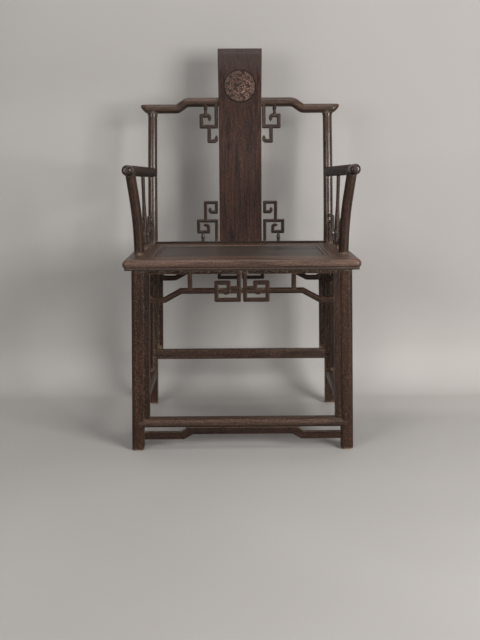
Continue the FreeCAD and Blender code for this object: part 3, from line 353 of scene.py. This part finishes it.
thin_pale, thin_heart, thin_vein = (0.048, 0.022, 0.014), (0.020, 0.009, 0.006), (0.008, 0.004, 0.003)
frame_finish = {
    run: rosewood("rosewood of the under-seat frames, " + run, turned, thin_pale, thin_heart, thin_vein,
                  vein_scale=90.0, dust=1.0, mottled=0.7, rubbing_and_highlight=0.9, shine=0.22, flecked=0.12)
    for run, turned in (("across", along_x), ("back", along_y), ("up", along_z))
}
finish_with(frame_finish["across"], ["front_foot_strip"])
finish_with(rosewood("rosewood of the low back strip", along_x, thin_heart, thin_vein, thin_vein, dust=0.15,
                     rubbing_and_highlight=0.3, shine=0.2),
            ["seat_back_strip"])
for side, run in (("front", "across"), ("back", "across"), ("left", "back"), ("right", "back")):
    finish_with(frame_finish[run], [side + "_apron", side + "_humpback_rail"])
    finish_with(frame_finish["up"], [side + "_left_leg_strip", side + "_right_leg_strip",
                                     side + "_struts", side + "_key_frets"])


# Crest rail: one round bar that steps up to a raised middle, with blunt tips past the
# posts. It is let over the tops of the back posts, and hands have worn it paler.

crest_pale, crest_heart, crest_vein = (0.128, 0.070, 0.045), (0.070, 0.037, 0.024), (0.022, 0.012, 0.008)
finish_with(rosewood("rosewood of the crest rail", along_x, crest_pale, crest_heart, crest_vein,
                     vein_scale=70.0, roughness=0.34, coat=0.4),
            ["crest_rail"])


# Splat: one wide board in an S curve, the show piece of the chair. Its grain stands
# upright in dark streaks, its rolled top is painted greyer as a painted sheen, and a ring is cut near the
# top.

splat_pale, splat_heart, splat_vein = (0.084, 0.036, 0.023), (0.034, 0.015, 0.011), (0.010, 0.005, 0.004)
painted_sheen_top, painted_sheen_from, painted_sheen_full, painted_sheen_share = (0.062, 0.049, 0.048), 0.975, 1.05, 0.55
roundel_height, ring_radius, ring_half = 0.968, 0.0465, 0.0011
ring_fade = ring_half * 1.5
ring_darkening = (0.006, 0.003, 0.002)
splat_finish = rosewood("rosewood of the splat", along_z, splat_pale, splat_heart, splat_vein,
                        vein_scale=75.0, rubbing_and_highlight=0.5, dust=0.3, shine=0.28, mottled=0.45)
splat_tree = splat_finish.node_tree
flat_place = scaled(splat_tree, own_place(splat_tree), (1.0, 0.0, 1.0))
from_middle = vector_maths(splat_tree, "DISTANCE", flat_place, (0.0, 0.0, roundel_height))["Value"]
off_ring = maths(splat_tree, "ABSOLUTE", maths(splat_tree, "SUBTRACT", from_middle, ring_radius))
# Painted sheen: the rolled top is blended to a greyer colour.
stained(splat_finish, between(splat_tree, own_axes(splat_tree)["Z"], painted_sheen_from, painted_sheen_full,
                              out_high=painted_sheen_share), painted_sheen_top)
# The ring's cut is painted darker.
stained(splat_finish, between(splat_tree, off_ring, ring_fade, ring_half), ring_darkening)
finish_with(splat_finish, ["splat"])


# Roundel: coiling scrollwork carved inside the ring of the splat, its ground gouged and
# its ridges rubbed brown, with a painted highlight on the ridges that grows towards the
# lower right. Here it is a thin closed plate, let into the board and bent to
# its curve, and the curls are drawn out by formula.

roundel_radius = 0.0454
relief_proud, ground_proud, relief_root = 0.0020, 0.0002, 0.0008
roundel_rings, roundel_spokes = 84, 300
merging = 1e-6


def curl(center, radii, start, turns, widths, steps=48):
    """A carved stroke that winds from one radius to another: rows of x, z, half width."""
    share = np.linspace(0.0, 1.0, steps)
    reach = radii[0] + (radii[1] - radii[0]) * share
    angle = math.radians(start) + turns * math.tau * share
    return np.stack([center[0] + reach * np.cos(angle), center[1] + reach * np.sin(angle),
                     widths[0] + (widths[1] - widths[0]) * share], axis=1)


def spot(degrees, reach):
    """A place on the roundel by its angle and its distance from the middle."""
    return reach * math.cos(math.radians(degrees)), reach * math.sin(math.radians(degrees))


# Six large strokes, then rings of small buds, each with a leaf that springs from it.
strokes = [curl((0.003, 0.004), (0.0320, 0.0215), 165.0, 0.36, (0.0014, 0.0022), steps=90),
           curl((-0.004, 0.000), (0.0225, 0.0120), 300.0, 0.42, (0.0022, 0.0014), steps=90),
           curl((0.002, -0.003), (0.0325, 0.0240), 330.0, 0.26, (0.0010, 0.0020), steps=90),
           curl((-0.006, 0.010), (0.0180, 0.0120), 20.0, 0.30, (0.0014, 0.0009)),
           curl((0.010, -0.008), (0.0150, 0.0110), 200.0, -0.34, (0.0014, 0.0009)),
           curl((0.002, -0.001), (0.0065, 0.0020), 60.0, -1.1, (0.0013, 0.0008))]
ring_twist = 40.0
uneven_share, uneven_pace = 0.3, 2.4
wander, wander_pace = 0.0018, 3.7
bud_end_share, bud_start, bud_turns, bud_tip_share = 0.3, 70.0, 1.1, 0.6
leaf_reach_shares, leaf_start, leaf_turns, leaf_width_shares = (1.5, 1.2), -100.0, 0.3, (0.6, 0.4)
for count, reach, size, width in ((19, 0.0392, 0.0044, 0.0013), (15, 0.0300, 0.0042, 0.0012),
                                  (11, 0.0212, 0.0040, 0.0012), (6, 0.0120, 0.0034, 0.0011)):
    for step in range(count):
        uneven = uneven_share * math.sin(step * uneven_pace)
        turned = (step + reach * ring_twist + uneven) * 360.0 / count
        hand = 1 if step % 3 else -1
        place = spot(turned, reach + wander * math.sin(step * wander_pace))
        strokes.append(curl(place, (size, size * bud_end_share), turned + bud_start * hand,
                            bud_turns * hand, (width, width * bud_tip_share)))
        strokes.append(curl(place, tuple(size * share for share in leaf_reach_shares),
                            turned + leaf_start * hand, leaf_turns * hand,
                            tuple(width * share for share in leaf_width_shares)))

disc = bmesh.new()
tone = disc.verts.layers.float.new("relief")
spoke = [disc.verts.new((0.0, 0.0, roundel_radius * step / roundel_rings))
         for step in range(roundel_rings + 1)]
rods = [disc.edges.new(pair) for pair in zip(spoke, spoke[1:])]
bmesh.ops.spin(disc, geom=spoke + rods, cent=(0.0, 0.0, 0.0), axis=(0.0, 1.0, 0.0), angle=math.tau,
               steps=roundel_spokes, use_merge=True)
bmesh.ops.remove_doubles(disc, verts=disc.verts, dist=merging)
raised = bmesh.ops.extrude_face_region(disc, geom=list(disc.faces), use_keep_orig=True)["geom"]
front = [part for part in raised if isinstance(part, bmesh.types.BMVert)]

# The gouge marks in the ground are two crossed waves, in radians to the metre across and
# up. Each stroke is rounded, with a fine cut along its middle, and the rim is a low bead.
ground_lift = 0.07
first_gouge, second_gouge = (2600.0, 700.0), (-500.0, 2300.0)
cut_depth, cut_half_share = 0.35, 0.25
rim_half, rim_lift = 0.0009, 0.7
flat = np.array([(vert.co.x, vert.co.z) for vert in front])
across, up = flat[:, 0], flat[:, 1]
lift = ground_lift + ground_lift * (np.sin(across * first_gouge[0] + up * first_gouge[1])
                                    * np.sin(up * second_gouge[1] + across * second_gouge[0]))
for stroke in strokes:
    off_stroke = np.linalg.norm(flat[:, None, :] - stroke[None, :, :2], axis=2) / stroke[None, :, 2]
    near = off_stroke.min(axis=1)
    rounded = np.sqrt(np.clip(1.0 - near ** 2, 0.0, 1.0))
    lift = np.maximum(lift, rounded - cut_depth * np.exp(-(near / cut_half_share) ** 2))
from_rim = roundel_radius - np.linalg.norm(flat, axis=1)
lift = np.maximum(lift, np.clip(1.0 - np.abs(from_rim - rim_half) / rim_half, 0.0, 1.0) * rim_lift)
for vert, share in zip(front, lift):
    vert[tone] = share

board = nodes["splat"]
surface = BVHTree.FromPolygons([vert.co for vert in board.data.vertices],
                               [tuple(face.vertices) for face in board.data.polygons])
before_the_chair = -1.0
carved_verts = set(front)
for vert in disc.verts:
    foot, facing = surface.ray_cast(Vector((vert.co.x, before_the_chair, vert.co.z + roundel_height)),
                                    Vector((0.0, 1.0, 0.0)))[:2]
    out = ground_proud + relief_proud * vert[tone] if vert in carved_verts else -relief_root
    vert.co = foot + facing * out
bmesh.ops.recalc_face_normals(disc, faces=disc.faces)
roundel_mesh = bpy.data.meshes.new("splat_roundel")
disc.to_mesh(roundel_mesh)
disc.free()
roundel_mesh.shade_smooth()
roundel = bpy.data.objects.new("splat_roundel", roundel_mesh)
bpy.context.scene.collection.objects.link(roundel)

roundel_ground, roundel_ridge = (0.034, 0.017, 0.012), (0.105, 0.052, 0.038)
roundel_rubbed_highlight = (0.46, 0.27, 0.20)
roundel_roughness = 0.30
# Painted highlight: the rubbed ridges are painted paler towards the lower right.
painted_highlight_side = (0.8, 0.0, -0.6)
roundel_middle = painted_highlight_side[2] * roundel_height
highlight_from, highlight_full, least_highlight = roundel_middle - 0.01, roundel_middle + 0.035, 0.25
roundel_finish = bpy.data.materials.new("carved rosewood")
roundel_finish.use_nodes = True
carved = roundel_finish.node_tree
ridge = add_node(carved, "ShaderNodeAttribute", {"attribute_name": "relief"}).outputs["Fac"]
wear = add_node(carved, "ShaderNodeTexNoise", Vector=own_place(carved), Scale=230.0, Detail=4.0).outputs[0]
toward_painted_highlight = vector_maths(carved, "DOT_PRODUCT", own_place(carved), painted_highlight_side)["Value"]
rubbed_and_highlit = times(carved, between(carved, ridge, low=0.5, high=0.95),
               between(carved, wear, low=0.40, high=0.56))
rubbed_and_highlit = times(carved, rubbed_and_highlit,
               between(carved, toward_painted_highlight, highlight_from, highlight_full, out_low=least_highlight))
carved_wood = blended(carved, between(carved, ridge, low=0.05, high=0.75), roundel_ground, roundel_ridge)
carved_shader = carved.nodes["Principled BSDF"]
carved.links.new(blended(carved, rubbed_and_highlit, carved_wood, roundel_rubbed_highlight), carved_shader.inputs["Base Color"])
carved_shader.inputs["Roughness"].default_value = roundel_roughness
roundel_mesh.materials.append(roundel_finish)
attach(roundel, "root")


# Arms: round bars from the back posts to blunt tips, on goose-neck posts in front and
# slender spindles half way. Hands have polished the tips and left the rest dull.

arm_pale, arm_heart, arm_vein = (0.058, 0.030, 0.020), (0.028, 0.014, 0.009), (0.010, 0.005, 0.003)
arm_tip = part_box("left_arm")[0][1]
arm_polish_from, arm_polish_full, arm_polish = arm_tip + 0.05, arm_tip + 0.02, 0.8
arm_finish = rosewood("rosewood of the arms", along_y, arm_pale, arm_heart, arm_vein, roughness=0.42,
                      mottled=0.7, shine=0.1)
polished_by_hands(arm_finish, "Y", arm_polish_from, arm_polish_full, arm_polish)
finish_with(arm_finish, ["left_arm", "right_arm"])
finish_with(rosewood("rosewood of the arm posts", along_z, leg_pale, leg_heart, leg_vein,
                     vein_scale=85.0, dust=0.9, mottled=0.8, coat=0.15, flecked=0.2, shine=0.25),
            ["left_arm_post", "right_arm_post", "left_spindle", "right_spindle"])


# Frets of the back and of the arms: small square rods of the thin stock, mitred into
# keys with curled tips. A small turned neck joins each to the rail that it grows from.

finish_with(rosewood("rosewood of the frets", along_z, thin_pale, thin_heart, thin_vein, vein_scale=90.0,
                     dust=0.8, rubbing_and_highlight=1.0, coat=0.4, mottled=0.5),
            ["upper_left_fret", "upper_right_fret", "lower_left_fret", "lower_right_fret",
             "left_rear_side_fret", "left_front_side_fret", "right_rear_side_fret",
             "right_front_side_fret"])


# Studio: a pale paper sweep that rises close behind the chair, with painted light that
# makes it a little paler low on the right and high on the left. A camera behind it sees through it.

paper_dark, paper_light = (0.50, 0.48, 0.464), (0.54, 0.52, 0.504)
paper_painted_light_low_right, paper_painted_light_high_left = (0.60, 0.577, 0.556), (0.55, 0.53, 0.513)
paper_roughness = 0.9
paper = bpy.data.materials.new("pale paper")
paper.use_nodes = True
paper_tree = paper.node_tree
paper_shader = paper_tree.nodes["Principled BSDF"]
paper_at = own_axes(paper_tree)
paper_cloud = add_node(paper_tree, "ShaderNodeTexNoise", Vector=own_place(paper_tree), Scale=1.3,
                       Detail=2.0)
# Painted light: two patches of the sheet are painted paler, low on the right and high on the left.
painted_light_low_behind = times(paper_tree, between(paper_tree, paper_at["Y"], low=-0.02, high=0.14),
                   between(paper_tree, paper_at["Z"], low=0.32, high=0.08))
painted_light_low_right_mask = times(paper_tree, painted_light_low_behind, between(paper_tree, paper_at["X"], low=-0.25, high=0.30))
painted_light_high_band = times(paper_tree, between(paper_tree, paper_at["Z"], low=0.20, high=0.45),
                  between(paper_tree, paper_at["Z"], low=1.05, high=0.85))
painted_light_high_left_mask = times(paper_tree, between(paper_tree, paper_at["X"], low=-0.25, high=-0.45), painted_light_high_band)
paper_tone = blended(paper_tree, between(paper_tree, paper_cloud.outputs[0], low=0.3, high=0.7),
                     paper_dark, paper_light)
paper_tree.links.new(paper_tone, paper_shader.inputs["Base Color"])
stained(paper, painted_light_low_right_mask, paper_painted_light_low_right)
stained(paper, painted_light_high_left_mask, paper_painted_light_high_left)
paper_shader.inputs["Roughness"].default_value = paper_roughness
seen_from_behind = times(paper_tree, paper_tree.nodes.new("ShaderNodeNewGeometry").outputs["Backfacing"],
                         paper_tree.nodes.new("ShaderNodeLightPath").outputs["Is Camera Ray"])
clear = paper_tree.nodes.new("ShaderNodeBsdfTransparent")
paper_or_clear = add_node(paper_tree, "ShaderNodeMixShader", _0=seen_from_behind,
                          _1=paper_shader.outputs[0], _2=clear.outputs[0])
paper_tree.links.new(paper_or_clear.outputs[0], paper_tree.nodes["Material Output"].inputs["Surface"])

sweep_half_width = 4.0
sweep_front = -4.5
bend_start = 0.226
bend_radius = 0.15
bend_steps = 24
wall_top = 4.0
sweep = bmesh.new()
front_end = sweep.verts.new((-sweep_half_width, sweep_front, 0.0))
bend_end = sweep.verts.new((-sweep_half_width, bend_start, 0.0))
sweep.edges.new((front_end, bend_end))
bmesh.ops.spin(sweep, geom=[bend_end], cent=(0.0, bend_start, bend_radius), axis=(1.0, 0.0, 0.0),
               angle=math.radians(90), steps=bend_steps)
last = max(sweep.verts, key=lambda v: v.co.z)
top = bmesh.ops.extrude_vert_indiv(sweep, verts=[last])["verts"][0]
top.co.z = wall_top
spread = bmesh.ops.extrude_edge_only(sweep, edges=list(sweep.edges))["geom"]
bmesh.ops.translate(sweep, verts=[v for v in spread if isinstance(v, bmesh.types.BMVert)],
                    vec=(2 * sweep_half_width, 0.0, 0.0))
bmesh.ops.recalc_face_normals(sweep, faces=sweep.faces)
bmesh.ops.reverse_faces(sweep, faces=sweep.faces)
sweep_mesh = bpy.data.meshes.new("paper_sweep")
sweep.to_mesh(sweep_mesh)
sweep.free()
sweep_mesh.shade_smooth()
sweep_mesh.materials.append(paper)
paper_sweep = bpy.data.objects.new("paper_sweep", sweep_mesh)
bpy.context.scene.collection.objects.link(paper_sweep)


# Lamps: two soft boxes at chest height, the right one stronger, a wide panel overhead
# and a weak one in front. The room adds almost nothing.

chair_middle = Vector((0.0, 0.1, 0.6))
chair_foot = Vector((0.0, 0.1, 0.0))
box_white, panel_white, room_white = (1.0, 0.985, 0.965), (1.0, 0.985, 0.97), (1.0, 0.98, 0.965, 1.0)
box_reach, box_height, box_size = 2.6, 1.05, 1.0
room_strength = 0.01


def soft_box(name, target, colour, degrees, reach, height, size, power):
    """A square lamp turned to the chair, at an angle from straight in front of it, + to the right."""
    light = bpy.data.lights.new(name, "AREA")
    light.shape = "RECTANGLE"
    light.size, light.size_y = size, size
    light.energy = power
    light.color = colour
    angle = math.radians(degrees)
    place = Vector((chair_middle.x + reach * math.sin(angle), chair_middle.y - reach * math.cos(angle),
                    height))
    lamp = bpy.data.objects.new(name, light)
    lamp.location = place
    lamp.rotation_euler = (target - place).to_track_quat("-Z", "Y").to_euler()
    bpy.context.scene.collection.objects.link(lamp)


soft_box("right soft box", chair_middle, box_white, degrees=39.0, reach=box_reach, height=box_height,
         size=box_size, power=46.0)
soft_box("left soft box", chair_middle, box_white, degrees=-34.0, reach=box_reach, height=box_height,
         size=box_size, power=16.5)
soft_box("ceiling panel", chair_foot, panel_white, degrees=0.0, reach=0.5, height=2.7, size=2.0, power=19.5)
soft_box("front panel", chair_middle, panel_white, degrees=0.0, reach=3.2, height=1.8, size=1.6, power=4.0)
room = bpy.data.worlds.new("room")
room.use_nodes = True
room.node_tree.nodes["Background"].inputs["Color"].default_value = room_white
room.node_tree.nodes["Background"].inputs["Strength"].default_value = room_strength
bpy.context.scene.world = room


# Camera: a plain lens 2.4 m in front of the chair's middle and just above its arms,
# which looks down on the seat a little.

lens_millimetres, sensor_millimetres = 47.794, 36.0
camera_place = (-0.01607, -2.40256, 0.79517)
camera_turn, camera_down, camera_roll = -0.28, 11.589, -0.315
eye = bpy.data.cameras.new("camera")
eye.sensor_width = sensor_millimetres
eye.lens = lens_millimetres
camera = bpy.data.objects.new("camera", eye)
camera.matrix_world = (Matrix.Translation(camera_place)
                       @ Matrix.Rotation(math.radians(camera_turn), 4, "Z")
                       @ Matrix.Rotation(math.radians(90.0 - camera_down), 4, "X")
                       @ Matrix.Rotation(math.radians(camera_roll), 4, "Z"))
bpy.context.scene.collection.objects.link(camera)
bpy.context.scene.camera = camera
bpy.context.scene.view_settings.view_transform = "Standard"
